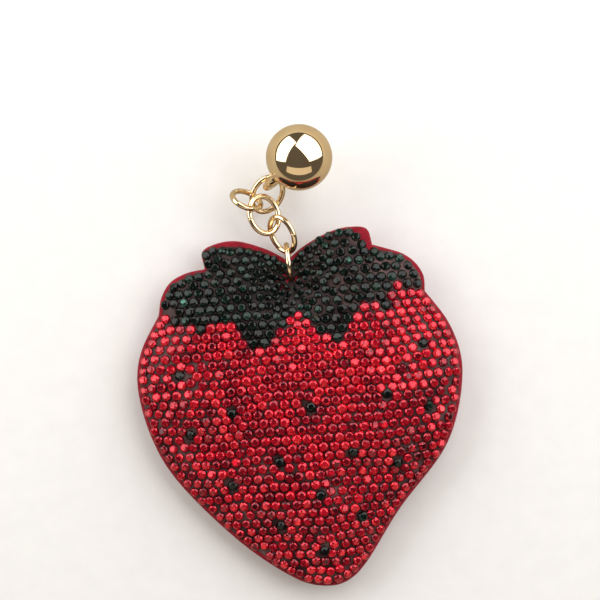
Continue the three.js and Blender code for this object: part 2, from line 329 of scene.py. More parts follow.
SUEDE = suede_paint()
FIBRE = fibre_paint()
THREAD = thread_paint()
GLUE = film_paint()
RED = stone_paint("red_stones", 0.6, 1.44)
GREEN = stone_paint("dark_green_stones", 0.35, 1.36)
GOLD = metal_paint("polished_gold", (0.84, 0.64, 0.38), (0.91, 0.73, 0.47), 0.04, 0.09)
BRASS = metal_paint("turned_brass", (0.42, 0.28, 0.10), (0.62, 0.44, 0.18), 0.3, 0.5)


# ------------------------ the pad's rim and swelling

front_lo, front_hi = box_of("front_panel")
_, back_hi = box_of("back_panel")
SEAM = (front_lo[2] + back_hi[2]) / 2
FRONT_FACE = front_lo[2] + CLOTH  # the front's face at the rim
FRONT_RISE = front_hi[2] - FRONT_FACE
BACK_FACE = back_hi[2] - CLOTH


def rim_corners():
    """The corners of the pad's rim, anticlockwise, from the front panel's lowest ring."""
    found = corners_of("front_panel")
    found = np.unique(found[found[:, 2] < front_lo[2] + 0.01][:, :2].round(3), axis=0)
    away = found - PAD_MIDDLE
    return found[np.argsort(np.arctan2(away[:, 1], away[:, 0]))]


def smooth_rim(corners, steps=5, notch=-9):
    """A smooth curve through the corners, sharp where the rim turns inwards past notch degrees."""
    after = np.roll(corners, -1, axis=0) - corners
    before = corners - np.roll(corners, 1, axis=0)
    turn = np.degrees(
        np.arctan2(
            before[:, 0] * after[:, 1] - before[:, 1] * after[:, 0], (before * after).sum(1)
        )
    )
    sharp = turn < notch
    middle = ((before + after) / 2).copy()
    leaving = np.where(sharp[:, None], after, middle)
    reaching = np.where(sharp[:, None], before, middle)
    out = []
    for i, start in enumerate(corners):
        j = (i + 1) % len(corners)
        for t in np.arange(steps) / steps:
            out.append(
                (2 * t**3 - 3 * t**2 + 1) * start
                + (t**3 - 2 * t**2 + t) * leaving[i]
                + (3 * t**2 - 2 * t**3) * corners[j]
                + (t**3 - t**2) * reaching[j]
            )
    return np.array(out)


RIM = smooth_rim(rim_corners())


def rim_distance(points):
    """How far each point is inside the rim."""
    a, b = RIM, np.roll(RIM, -1, axis=0)
    run = b - a
    length = (run**2).sum(1)
    out = []
    for part in np.array_split(points, max(1, len(points) // 2000)):
        away = part[:, None, :] - a[None]
        share = np.clip((away * run).sum(2) / length, 0, 1)
        out.append(np.sqrt(((away - share[..., None] * run) ** 2).sum(2).min(1)))
    return np.concatenate(out)


def in_rim(points):
    """Which of the points are inside the rim."""
    inside = np.zeros(len(points), bool)
    for a, b in zip(RIM, np.roll(RIM, -1, axis=0)):
        spans = (a[1] > points[:, 1]) != (b[1] > points[:, 1])
        if spans.any():
            x = a[0] + (points[:, 1] - a[1]) * (b[0] - a[0]) / (b[1] - a[1])
            inside ^= spans & (x > points[:, 0])
    return inside


def edge_change(points):
    """How much further from the rim than usual the crystals and their film stop."""
    far = [np.hypot(points[:, 0] - x, points[:, 1] - y) / reach for x, y, reach, _ in EDGE_PATCHES]
    return sum(patch[3] * np.exp(-(away**2)) for patch, away in zip(EDGE_PATCHES, far))


def inset_rim(inset):
    """The rim moved inwards, on the lines from its points to the pad's middle."""
    inside, outside = np.zeros(len(RIM)), np.ones(len(RIM))
    for _ in range(18):
        share = (inside + outside) / 2
        here = PAD_MIDDLE + share[:, None] * (RIM - PAD_MIDDLE)
        good = rim_distance(here) >= inset
        inside, outside = np.where(good, share, inside), np.where(good, outside, share)
    return PAD_MIDDLE + inside[:, None] * (RIM - PAD_MIDDLE)


def ring_plane(node):
    """A flat loop's middle, long axis and the way that it faces."""
    points = corners_of(node)
    middle = points.mean(0)
    axes = np.linalg.svd(points - middle, full_matrices=False)[2]
    return middle, axes[0], axes[2]


jump_middle, _, jump_facing = ring_plane("jump_ring")
in_seam = unit(np.cross(jump_facing, [0.0, 0.0, 1.0]))
in_seam = in_seam * -np.sign(in_seam[1])
HOLE = (jump_middle + in_seam * JUMP_RADIUS)[:2]  # where the jump ring goes through the seam plane


def wave(points, size, seed=0.0):
    """Smooth noise at each point, with features about size millimetres across."""
    return np.array([noise.noise(Vector((x / size, y / size, seed))) for x, y in points])


def swelling(points, reach):
    """The share of its full height that a face has, from 0 at the rim, with the dip taken out."""
    share = np.clip(rim_distance(points) / reach, 0, 1)
    rise = 1 - (1 - share) ** SWELL_POWER
    away = points - HOLE
    far = np.hypot(away[:, 0], away[:, 1])
    return rise * (1 - DIMPLE_DEPTH * np.exp(-((far / DIMPLE_RADIUS) ** 2)))


def folds(points):
    """Lumps of the filling, and the folds that run out from the jump ring's hole."""
    inside = np.clip(rim_distance(points) / EDGE_FADE, 0, 1)
    away = points - HOLE
    far, heading = np.hypot(away[:, 0], away[:, 1]), np.arctan2(away[:, 1], away[:, 0])
    lumps = LUMP_RISE * wave(points, LUMP_SIZE) + FINE_RISE * wave(points, FINE_SIZE, 4.0)
    pulled = FOLD_RISE * np.cos(FOLD_COUNT * heading + 2.5 * wave(points, 12, 9.0))
    fading = np.exp(-((far / FOLD_REACH) ** 2))
    return inside * (lumps + pulled * fading * np.clip(far / 3, 0, 1))


def cut_front(points):
    """The front before the cloth is simulated, a little lower than it will be."""
    return FRONT_FACE + SLACK_RISE * FRONT_RISE * swelling(points, FRONT_REACH) + folds(points)


def cut_back(points):
    """The back before the cloth is simulated."""
    rest = BACK_FACE * (1 - swelling(points, BACK_REACH)) + BACK_FLAT
    return rest + BACK_FOLDS * np.abs(folds(points))


def rounded(distance):
    """How far the folded edge has dropped from the panel's face."""
    near = np.clip(1 - distance / EDGE_ROUND, 0, 1)
    return EDGE_ROUND * (1 - np.sqrt(1 - near**2))


def puckers(count, distance):
    """Small gathers across the seam, for a grid of rings."""
    run = np.linalg.norm(np.roll(RIM, -1, axis=0) - RIM, axis=1)
    along = np.concatenate([[0], np.cumsum(run)[:-1]])
    phase = 2 * math.pi * along / PUCKER_PITCH + 3 * wave(RIM, 9, 2.0)
    one = np.cos(phase) * (0.6 + 0.8 * wave(RIM, 6, 5.0))
    fading = np.exp(-distance / PUCKER_REACH)
    return PUCKER_RISE * np.tile(one, count) * fading * np.clip(distance / 0.5, 0, 1)


SHARES = np.concatenate(
    [np.linspace(0.03, 0.9, 34), np.linspace(0.915, 0.975, 6), [0.981, 0.986, 0.99, 0.994, 0.997, 1]]
)


def rings_in(outline, shares):
    """The outline's points drawn in towards the pad's middle, once for each share."""
    return np.concatenate([PAD_MIDDLE + s * (outline - PAD_MIDDLE) for s in shares])


def closed_layer(name, outline, shares, over, under, material):
    """A closed mesh between two heights over the same rings of points."""
    places = np.concatenate([[PAD_MIDDLE], rings_in(outline, shares)])
    n, rings, size = len(outline), len(shares), len(places)
    points = np.concatenate(
        [np.column_stack([places, height]) for height in (over(places), under(places))]
    )
    i = np.arange(n)
    j = (i + 1) % n
    top = [(0, 1 + a, 1 + b) for a, b in zip(i, j)]
    for ring in range(1, rings):
        inner, outer = 1 + (ring - 1) * n, 1 + ring * n
        top += [(inner + a, outer + a, outer + b, inner + b) for a, b in zip(i, j)]
    last = 1 + (rings - 1) * n
    faces = top + [tuple(size + k for k in reversed(face)) for face in top]
    faces += [(last + b, last + a, size + last + a, size + last + b) for a, b in zip(i, j)]
    return make(name, points, faces, material)


# ------------------------ the pad as cloth

SIM_SCALE = 10  # the cloth is simulated at ten times its size
SIM_VOXEL = 2.4  # of the even mesh that is simulated, before it is scaled
SIM_FRAMES = 20
SIM_SLACK = 0.014  # how much more cloth there is than the form needs
SIM_PRESSURE = 0.3
LIFT_STEP = 0.5  # between the grid's spots, at which the rise is kept
LIFT_MOST = 2.5  # a point of the cloth moves no further
LIFT_BLUR = 1.1  # spread of the smoothing
RAY_START = 60.0  # over or under the pad, clear of it
LIFT_X = np.arange(RIM[:, 0].min() - 1, RIM[:, 0].max() + 2, LIFT_STEP)
LIFT_Y = np.arange(RIM[:, 1].min() - 1, RIM[:, 1].max() + 2, LIFT_STEP)


def face_heights(mesh, spots, down):
    """The height of a mesh's upper face, or of its lower one, over each spot."""
    corners = [v.co / (MM * SIM_SCALE) for v in mesh.vertices]
    tree = BVHTree.FromPolygons(corners, [tuple(p.vertices) for p in mesh.polygons])
    sign = 1 if down else -1
    start, way = sign * RAY_START, Vector((0, 0, -sign))
    hits = (tree.ray_cast(Vector((x, y, start)), way)[0] for x, y in spots)
    return np.array([np.nan if hit is None else hit.z for hit in hits])


def blurred(field):
    """A grid of heights, smoothed both ways."""
    reach = np.arange(-8, 9) * LIFT_STEP
    kernel = np.exp(-0.5 * (reach / LIFT_BLUR) ** 2)
    for axis in (0, 1):
        field = np.apply_along_axis(np.convolve, axis, field, kernel / kernel.sum(), mode="same")
    return field


def blown_pad():
    """Pins a slack closed form along the seam and at the jump ring's hole, fills it with pressure,
    and returns how far its front and its back rise over a grid of spots."""
    form = closed_layer("pad_form", RIM[::5], np.linspace(0.05, 1, 20), cut_front, cut_back, SUEDE)
    form.data.transform(Matrix.Scale(SIM_SCALE, 4))
    grid = form.modifiers.new("even", "REMESH")
    grid.mode, grid.voxel_size = "VOXEL", SIM_VOXEL * MM * SIM_SCALE
    mesh = baked(form)
    form.modifiers.clear()
    form.data = mesh
    spots = np.array([v.co for v in mesh.vertices], float)[:, :2] / (MM * SIM_SCALE)
    at_seam = rim_distance(spots) < SIM_VOXEL
    held = at_seam | (np.linalg.norm(spots - HOLE, axis=1) < HELD_RADIUS)
    group = form.vertex_groups.new(name="held")
    group.add([int(k) for k in np.flatnonzero(held)], 1.0, "REPLACE")
    before = baked(form)
    cloth = form.modifiers.new("cloth", "CLOTH")
    settings = cloth.settings
    settings.quality = 6
    settings.mass = 0.3
    settings.vertex_group_mass = "held"
    settings.use_pressure = True
    settings.uniform_pressure_force = SIM_PRESSURE
    settings.shrink_min = -SIM_SLACK
    settings.bending_stiffness = 0.5
    settings.effector_weights.gravity = 0
    cloth.collision_settings.use_collision = False
    cloth.point_cache.frame_end = SIM_FRAMES
    for frame_number in range(1, SIM_FRAMES + 1):
        bpy.context.scene.frame_set(frame_number)
    after = baked(form)
    bpy.context.scene.frame_set(1)
    over = np.stack(np.meshgrid(LIFT_X, LIFT_Y, indexing="ij"), -1).reshape(-1, 2)
    fade = np.clip(rim_distance(over) / EDGE_FADE, 0, 1) * in_rim(over)
    fade = fade.reshape(len(LIFT_X), -1)
    lifts = []
    for down in (True, False):
        rise = face_heights(after, over, down) - face_heights(before, over, down)
        rise = np.clip(np.nan_to_num(rise), -LIFT_MOST, LIFT_MOST).reshape(fade.shape)
        lifts.append(blurred(rise) * fade)
    bpy.data.objects.remove(form)
    return lifts


def lift_at(lift, points):
    """The rise at any point, smoothly between the grid's spots."""
    column = np.clip((points[:, 0] - LIFT_X[0]) / LIFT_STEP, 0, len(LIFT_X) - 1.001)
    row = np.clip((points[:, 1] - LIFT_Y[0]) / LIFT_STEP, 0, len(LIFT_Y) - 1.001)
    i, j = column.astype(int), row.astype(int)
    u, v = column - i, row - j
    low = lift[i, j] * (1 - u) + lift[i + 1, j] * u
    high = lift[i, j + 1] * (1 - u) + lift[i + 1, j + 1] * u
    return low * (1 - v) + high * v


front_lift, back_lift = blown_pad()


def front_height(points):
    return cut_front(points) + lift_at(front_lift, points)


def back_height(points):
    return np.maximum(cut_back(points) + lift_at(back_lift, points), BACK_LOWEST)


# ------------------------ wire


def wire(
    name, middle, along, facing, half, radius, material, steps=160, sides=20, turn=None, join=None
):
    """Round wire bent to an oval in a plane. turn is the start and end of its run in degrees for an
    open one, and join the place in degrees of the fine gap where a closed one's ends meet."""
    z = unit(np.asarray(facing, float))
    x = unit(along - np.dot(along, z) * z)
    y = np.cross(z, x)
    if turn:
        angles = np.radians(np.linspace(turn[0], turn[1], steps))
    else:
        angles = np.radians(np.arange(steps) * 360 / steps)
        if join is not None:
            fine = math.radians(join) + np.linspace(-JOIN_SPAN, JOIN_SPAN, JOIN_STEPS)
            apart = np.abs((angles - math.radians(join) + math.pi) % (2 * math.pi) - math.pi)
            angles = np.concatenate([angles[apart > JOIN_CLEAR], fine]) % (2 * math.pi)
            angles = np.sort(angles)
    spot = np.stack([half[0] * np.cos(angles), half[1] * np.sin(angles)], 1)
    out = unit(np.stack([half[1] * np.cos(angles), half[0] * np.sin(angles)], 1))
    size = np.full(len(angles), radius)
    if join is not None:
        apart = np.abs((angles - math.radians(join) + math.pi) % (2 * math.pi) - math.pi)
        size -= JOIN_DEPTH * np.exp(-((apart * half[0] / JOIN_WIDTH) ** 2))
    if turn:
        size[[0, -1]] *= END_BEVEL
    around = np.arange(sides) * 2 * math.pi / sides
    points = []
    for k in range(len(angles)):
        base = middle + spot[k, 0] * x + spot[k, 1] * y
        away = out[k, 0] * x + out[k, 1] * y
        ring = base + size[k] * (np.cos(around)[:, None] * away + np.sin(around)[:, None] * z)
        points.append(ring)
    points = np.concatenate(points)
    faces, count = [], len(angles)
    for k in range(count - 1 if turn else count):
        a, b = k * sides, (k + 1) % count * sides
        for s in range(sides):
            t = (s + 1) % sides
            faces.append((a + s, a + t, b + t, b + s))
    if turn:
        faces.append(tuple(reversed(range(sides))))
        faces.append(tuple((count - 1) * sides + s for s in range(sides)))
    obj = make(name, points, faces, material)
    obj.data.validate()
    return obj


# ------------------------ pad pieces

jump_half, channel_radius = (JUMP_RADIUS, JUMP_RADIUS), JUMP_WIRE + CHANNEL_CLEAR
channel = wire(
    "channel", jump_middle, in_seam, jump_facing, jump_half, channel_radius, GOLD, 64, 14
)


def over_front(places):
    distance = rim_distance(places)
    heights = front_height(places) - rounded(distance)
    heights[1:] += puckers(len(SHARES), distance[1:])
    return heights


def under_front(places):
    distance = rim_distance(places)
    inner = front_height(places) - CLOTH
    return np.maximum(inner, SEAM + SEAM_GAP) - RIM_LAP * (distance < 0.05)


def over_back(places):
    distance = rim_distance(places)
    inner = back_height(places) + CLOTH
    return np.minimum(inner, SEAM - SEAM_GAP) + RIM_LAP * (distance < 0.05)


def under_back(places):
    distance = rim_distance(places)
    heights = back_height(places) + rounded(distance)
    heights[1:] -= puckers(len(SHARES), distance[1:])
    return np.maximum(heights, 0.02)


suede_front = closed_layer("suede_front", RIM, SHARES, over_front, under_front, SUEDE)
suede_back = closed_layer("suede_back", RIM, SHARES, over_back, under_back, SUEDE)

fill_outline = inset_rim(FILL_INSET)
fill_shares = np.linspace(0.04, 1, 26)


def over_fill(places):
    heights = front_height(places) - CLOTH - FILL_GAP + 0.1 * wave(places, 2.2, 3.0)
    return np.maximum(heights, SEAM + 0.3)


def under_fill(places):
    heights = back_height(places) + CLOTH + FILL_GAP + 0.1 * wave(places, 2.2, 6.0)
    return np.minimum(heights, SEAM - 0.3)


filling = closed_layer("fibre_filling", fill_outline, fill_shares, over_fill, under_fill, FIBRE)

film_outline = inset_rim(np.maximum(FILM_INSET + edge_change(RIM), 0.5))
toward = unit(film_outline - PAD_MIDDLE)
film_outline = film_outline + toward * (0.3 * wave(film_outline, 4.5, 8.0))[:, None]


def under_film(places):
    return front_height(places) + FILM_GAP


def over_film(places):
    return under_film(places) + FILM + 0.05 * wave(places, 1.3, 5.0)


film_shares = np.concatenate([np.linspace(0.03, 0.97, 60), [0.99, 1]])
film = closed_layer("glue_film", film_outline, film_shares, over_film, under_film, GLUE)

for obj in (suede_front, suede_back, filling, film):
    cut(obj, channel)
bpy.data.objects.remove(channel)

# Painted shade: the film is darkest in the dip, beside the jump ring's hole, standing in for the
# shadow between the crowded stones there
FILM_PAINTED_SHADE, PAINTED_SHADE_OFFSET, PAINTED_SHADE_REACH = 0.9, [-6, 0], 21  # the offset is from the jump ring's hole
film_spots = np.array([v.co for v in film.data.vertices], float)[:, :2] / MM
from_painted_shade = np.linalg.norm(film_spots - HOLE - PAINTED_SHADE_OFFSET, axis=1)
painted_shade = 1 - FILM_PAINTED_SHADE * np.exp(-((from_painted_shade / PAINTED_SHADE_REACH) ** 2))
layer = film.data.color_attributes.new("tone", "FLOAT_COLOR", "POINT")
layer.data.foreach_set("color", np.repeat(painted_shade, 4).astype(np.float32))

mount(suede_front, "pad", "suede", "front_panel")
mount(suede_back, "pad", "suede", "back_panel")
mount(filling, "pad", "fibre", "stuffing")
mount(film, "pad", "film", "crystal_film")


def stitches(
    pitch=2.1, length=1.5, radius=0.17, sides=7, slope=24, uneven=6, inset=0.22, bulge=0.06
):
    """Stitches across the seam, all round the rim, which slant by about slope degrees."""
    run = np.linalg.norm(np.roll(RIM, -1, axis=0) - RIM, axis=1)
    along = np.concatenate([[0], np.cumsum(run)])
    closed = np.concatenate([RIM, RIM[:1]])
    count = int(along[-1] / pitch)
    points, faces = [], []
    profile = [(-0.5, 0.25), (-0.42, 0.7), (-0.2, 1.0), (0.2, 1.0), (0.42, 0.7), (0.5, 0.25)]
    for k in range(count):
        at = (k + 0.5) * along[-1] / count
        spot = np.array([np.interp(at, along, closed[:, c]) for c in (0, 1)])
        ahead = np.array([np.interp(at + 0.4, along, closed[:, c]) for c in (0, 1)]) - spot
        ahead = unit(ahead)
        outward = np.array([ahead[1], -ahead[0]])
        slant = math.radians(slope + uneven * random.standard_normal())
        axis = np.array([*(ahead * math.cos(slant)), math.sin(slant)])
        side = np.array([*outward, 0.0])
        up = np.cross(axis, side)
        first = len(points)
        centre = np.array([*(spot - outward * inset), SEAM])
        for share, fat in profile:
            bow = bulge * (1 - 4 * share**2)
            for s in range(sides):
                angle = 2 * math.pi * s / sides
                offset = math.cos(angle) * side + math.sin(angle) * up
                fatness = fat * radius
                points.append(centre + axis * share * length + side * bow + offset * fatness)
        rings = len(profile)
        for r in range(rings - 1):
            for s in range(sides):
                a, b = first + r * sides + s, first + r * sides + (s + 1) % sides
                faces.append((a, b, b + sides, a + sides))
        faces.append(tuple(first + s for s in reversed(range(sides))))
        faces.append(tuple(first + (rings - 1) * sides + s for s in range(sides)))
    return make("seam_stitches", points, faces, THREAD)


mount(stitches(), "pad", "thread", "seam_thread")


# ------------------------ stones

seeds = [f"seed_crystal_{k:02d}" for k in range(1, 16)]
seed_spots = np.array([np.mean(box_of(name), axis=0)[:2] for name in seeds])


# How much closer the stones are in some places, as a share of the pitch, and how far that reaches
CLOSER_BELOW, BELOW_FROM, BELOW_RUN = 0.05, 20, 80  # growing from y = 20 down to y = -60
CLOSER_AT_RIM, RIM_REACH = 0.12, 6
CLOSER_AT_SEED, SEED_REACH = 0.07, 3.2
CLOSER_IN_DIP, DIP_REACH = 0.42, 12
# The rows, which cover more than the pad
ROWS_FROM, ROWS_TO, ROWS_SIDE = -70.0, 42, 54
ROWS_PROBE = 60.0  # x beside the pad at which a row's pitch is taken
ROWS_TURN = 5  # degrees
ROWS_UNEVEN, UNEVEN_SIZE = 0.8, 17  # how far they wander, and over what length
ROWS_INSET = 0.6  # how much further from the rim they stop than the region that stones share
ROWLESS_RADIUS = 13  # round the jump ring's hole, where stones are strewn and not in rows
# Least distances between stones, as shares of the pitch
ROW_SPACING, SETTLED_SPACING = 0.74, 0.80
STREWING = ((0.77, 12), (0.82, 8), (0.84, 4))  # in each round, with its settling steps
STREWN_MOST = 9000  # places tried in each round
REGION_STEP = 0.45  # between neighbouring places of the region
PLACE_SPREAD = 0.05  # of the stones round their settled places
WIDTH_SPREAD = 0.012  # of their widths, as a share
CROWDED, CROWDED_REACH = 0.07, 13  # how much wider than the pitch they may be in the dip
# How far they lean at random, and how much further in the dip
LEAF_LEAN, BERRY_LEAN, SEED_LEAN = 0.12, 0.085, 0.05
DIP_LEAN, DIP_LEAN_REACH = 0.28, 11


def pitch_at(points):
    """The distance between neighbouring stones: closer at the rim, at the bottom, next to a seed
    and in the dip."""
    lower = np.clip((BELOW_FROM - points[:, 1]) / BELOW_RUN, 0, 1)
    far = np.linalg.norm(points - HOLE, axis=1)
    seed = np.min([np.linalg.norm(points - spot, axis=1) for spot in seed_spots], axis=0)
    return (
        STONE_PITCH
        * (1 - CLOSER_BELOW * lower)
        * (1 - CLOSER_AT_RIM * np.exp(-rim_distance(points) / RIM_REACH))
        * (1 - CLOSER_AT_SEED * np.exp(-((seed / SEED_REACH) ** 2)))
        * (1 - CLOSER_IN_DIP * np.exp(-((far / DIP_REACH) ** 2)))
    )


def thin(points, kept, least):
    """The points that keep their distance from the kept ones and from each other."""
    out, count = np.concatenate([kept, np.zeros_like(points)]), len(kept)
    for p, need in zip(points, least):
        if ((out[:count] - p) ** 2).sum(1).min() >= need**2:
            out[count] = p
            count += 1
    return out[len(kept) : count]


def settle(points, fixed, region, rounds):
    """Moves each stone to the middle of the space round it, so that all of them share the region."""
    weight = pitch_at(region) ** -4  # with this the spacing follows the pitch
    for _ in range(rounds):
        everything = np.concatenate([points, fixed])
        tree = KDTree(len(everything))
        for k, (x, y) in enumerate(everything):
            tree.insert((x, y, 0), k)
        tree.balance()
        owner = np.array([tree.find((x, y, 0))[1] for x, y in region])
        total = np.bincount(owner, weight, len(everything))
        middle = np.column_stack(
            [np.bincount(owner, weight * region[:, c], len(everything)) for c in (0, 1)]
        ) / np.maximum(total, 1e-12)[:, None]
        own = total[: len(points)] > 0
        points = np.where(own[:, None], middle[: len(points)], points)[own]
    return points


def hex_rows():
    """Rows of stones over the whole pad, a little askew and uneven."""
    rows, y, odd = [], ROWS_FROM, 0
    while y < ROWS_TO:
        step = pitch_at(np.array([[ROWS_PROBE, y]]))[0]
        xs = np.arange(-ROWS_SIDE + 0.5 * step * odd, ROWS_SIDE, step)
        rows.append(np.column_stack([xs, np.full(len(xs), y)]))
        y, odd = y + step * math.sqrt(3) / 2, 1 - odd
    grid = np.concatenate(rows)
    c, s = math.cos(math.radians(ROWS_TURN)), math.sin(math.radians(ROWS_TURN))
    grid = grid @ np.array([[c, s], [-s, c]])
    moves = np.column_stack([wave(grid, UNEVEN_SIZE, 1.0), wave(grid, UNEVEN_SIZE, 6.0)])
    return grid + ROWS_UNEVEN * moves


def stone_spots():
    """Rows over the pad, and stones strewn over the dip and the holes, all settled together."""
    lo, hi = RIM.min(0), RIM.max(0)
    fine = np.mgrid[lo[0] : hi[0] : REGION_STEP, lo[1] : hi[1] : REGION_STEP].reshape(2, -1).T
    fine = fine[in_rim(fine)]
    region = fine[rim_distance(fine) > STONE_INSET + edge_change(fine)]
    grid = hex_rows()
    grid = grid[in_rim(grid)]
    grid = grid[rim_distance(grid) > STONE_INSET + ROWS_INSET + edge_change(grid)]
    grid = grid[np.linalg.norm(grid - HOLE, axis=1) > ROWLESS_RADIUS]
    grid = thin(grid, seed_spots, ROW_SPACING * pitch_at(grid))
    for share, rounds in STREWING:
        extra = region[random.permutation(len(region))[:STREWN_MOST]]
        extra = thin(extra, np.concatenate([seed_spots, grid]), share * pitch_at(extra))
        grid = settle(np.concatenate([grid, extra]), seed_spots, region, rounds)
        grid = thin(grid, seed_spots, SETTLED_SPACING * pitch_at(grid))
    return grid + random.normal(0, PLACE_SPREAD, grid.shape)


def on_film(spots):
    """Each spot's place on the film, and the way that the film faces there."""
    step = 0.6
    slope = [
        (front_height(spots + move) - front_height(spots - move)) / (2 * step)
        for move in (np.array([step, 0]), np.array([0, step]))
    ]
    facing = unit(np.column_stack([-slope[0], -slope[1], np.ones(len(spots))]))
    return np.column_stack([spots, under_film(spots) + FILM]), facing


def stone_shape():
    """A flat-backed stone of radius 1: its points, faces, and what each face is."""
    full, half = np.arange(16) * math.pi / 8, np.arange(8) * math.pi / 4

    def ring(r, z, at):
        return np.column_stack([r * np.cos(at), r * np.sin(at), np.full(len(at), z)])

    points = np.concatenate(
        [
            ring(0.96, 0.0, full),
            ring(1.0, 0.26, full),
            ring(0.80, 0.56, half),
            ring(0.52, 0.74, half + math.pi / 8),
            [[0, 0, 0.74]],
        ]
    )
    faces, kinds = [tuple(reversed(range(16)))], ["back"]
    for i in range(16):
        j = (i + 1) % 16
        faces.append((i, j, 16 + j, 16 + i))
        kinds.append("wall")
    for k in range(8):
        m, n, t, u = 32 + k, 32 + (k + 1) % 8, 40 + k, 40 + (k + 1) % 8
        g = [16 + (2 * k + d) % 16 for d in (-1, 0, 1)]
        for face in ((m, g[0], g[1]), (m, g[1], g[2]), (m, g[2], n)):
            faces.append(face)
            kinds.append("lower")
        for face in ((m, n, t), (n, u, t)):
            faces.append(face)
            kinds.append("upper")
        faces.append((48, t, u))
        kinds.append("table")
    return points, faces, kinds


# A stone's middle tone, which holds both its own darkness and painted light, how it varies from
# stone to stone, and how a stone's table varies from it
LEAF_TONE, BERRY_TONE, SEED_TONE = 0.20, 0.53, 0.22
TONE_SPREAD, CORE_SPREAD, TABLE_SPREAD = 0.11, 0.15, 0.12
# For slanting facets, whose tone paints the light of inner reflections: what is added to the stone's
# tone, the painted light that facing -Y adds, and the spread
SLANTING_PAINTED_LIGHT = {"upper": (0.0, 0.15, 0.14), "lower": (-0.04, 0.19, 0.16)}
# Painted shade, added to the tone of walls and backs
WALL_PAINTED_SHADE = -0.35  # added for walls and backs
# Colours of a facet from its darkest tone to its brightest: the glass's own hue, with painted shade
# at the dark end and painted light and glints at the bright end
RED_PAINTED_LIGHT_TONES = np.array(
    [
        [0.05, 0.000, 0.005],
        [0.20, 0.0004, 0.012],
        [0.49, 0.002, 0.021],
        [0.89, 0.006, 0.029],
        [1.00, 0.05, 0.06],
    ]
)
GREEN_PAINTED_LIGHT_TONES = np.array(
    [
        [0.0008, 0.0024, 0.002],
        [0.002, 0.006, 0.005],
        [0.003, 0.018, 0.013],
        [0.006, 0.06, 0.038],
        [0.05, 0.20, 0.14],
    ]
)


def build_stones(name, spots, widths, lean, painted_light_tones, material, brightness):
    """All the stones of one colour as one mesh, with each facet's tone, painted light and shade
    included, as a colour.
    """
    shape, faces, kinds = stone_shape()
    base, facing = on_film(spots)
    points, polygons, colours = [], [], []
    for k in range(len(spots)):
        z = unit(facing[k] + lean[k] * random.standard_normal(3))
        turn = random.random() * 2 * math.pi
        x = unit(np.cross([math.sin(turn), math.cos(turn), 0.2], z))
        y = np.cross(z, x)
        radius = widths[k] / 2
        local = shape * radius
        world = base[k] - z * STONE_SINK + local[:, :1] * x + local[:, 1:2] * y + local[:, 2:] * z
        first = len(points)
        points.extend(world)
        own = brightness + TONE_SPREAD * random.standard_normal()
        core = own + CORE_SPREAD * random.standard_normal()
        for face, kind in zip(faces, kinds):
            polygons.append([first + i for i in face])
            middle = unit(np.mean(shape[list(face)], axis=0)[:2] + 1e-9)
            # Painted light: a slanting facet is brighter the more it faces -Y
            down = -(middle[0] * x[1] + middle[1] * y[1])
            if kind == "table":
                tone = core + TABLE_SPREAD * random.standard_normal()
            elif kind in SLANTING_PAINTED_LIGHT:
                shift, slope, spread = SLANTING_PAINTED_LIGHT[kind]
                tone = own + shift + slope * down + spread * random.standard_normal()
            else:
                tone = own + WALL_PAINTED_SHADE
            place = np.clip(tone, 0, 1) * (len(painted_light_tones) - 1)
            low = min(int(place), len(painted_light_tones) - 2)
            colour = painted_light_tones[low] + (place - low) * (painted_light_tones[low + 1] - painted_light_tones[low])
            colours.extend([(*colour, 1.0)] * len(face))
    obj = make(name, points, polygons, material, smooth=False)
    layer = obj.data.color_attributes.new("tone", "FLOAT_COLOR", "CORNER")
    layer.data.foreach_set("color", np.array(colours, np.float32).ravel())
    return obj


leaf_tree, berry_tree = tree_of("leaf_crystals"), tree_of("berry_crystals")
spots = stone_spots()
far = np.linalg.norm(spots - HOLE, axis=1)
crowded = 1.0 + CROWDED * np.exp(-((far / CROWDED_REACH) ** 2))
widths = np.minimum(STONE_WIDTH, pitch_at(spots) * crowded)
widths = widths * random.normal(1, WIDTH_SPREAD, len(spots))
places, _ = on_film(spots)

# No stone where the jump ring goes through
away = places + [0, 0, 0.6] - jump_middle
across = away @ jump_facing
within = np.sqrt(np.maximum((away**2).sum(1) - across**2, 0))
wire_gap = np.hypot(within - JUMP_RADIUS, across)
clear = wire_gap > JUMP_WIRE + widths / 2 + STONE_CLEAR
spots, far, widths, places = spots[clear], far[clear], widths[clear], places[clear]

is_leaf = np.array(
    [
        leaf_tree.find_nearest(Vector(p))[3] < berry_tree.find_nearest(Vector(p))[3] + LEAF_LEAD
        for p in places
    ]
)
lean = np.where(is_leaf, LEAF_LEAN, BERRY_LEAN)
lean = lean + DIP_LEAN * np.exp(-((far / DIP_LEAN_REACH) ** 2))

leaf_stones = build_stones(
    "leaf_stones", spots[is_leaf], widths[is_leaf], lean[is_leaf], GREEN_PAINTED_LIGHT_TONES, GREEN, LEAF_TONE
)
berry_stones = build_stones(
    "berry_stones", spots[~is_leaf], widths[~is_leaf], lean[~is_leaf], RED_PAINTED_LIGHT_TONES, RED, BERRY_TONE
)
seed_widths, seed_lean = np.full(len(seeds), STONE_WIDTH), np.full(len(seeds), SEED_LEAN)
seed_stones = build_stones(
    "seed_stones", seed_spots, seed_widths, seed_lean, GREEN_PAINTED_LIGHT_TONES, GREEN, SEED_TONE
)
mount(leaf_stones, "pad", "green_crystal", "leaf_crystals")
mount(berry_stones, "pad", "red_crystal", "berry_crystals")
mount(seed_stones, "pad", "green_crystal", *seeds)


# ------------------------ chain

jump = wire(
    "jump_ring_wire", jump_middle, in_seam, jump_facing, jump_half, JUMP_WIRE, GOLD, join=20
)
mount(jump, "jump_ring", "gold", "jump_ring")

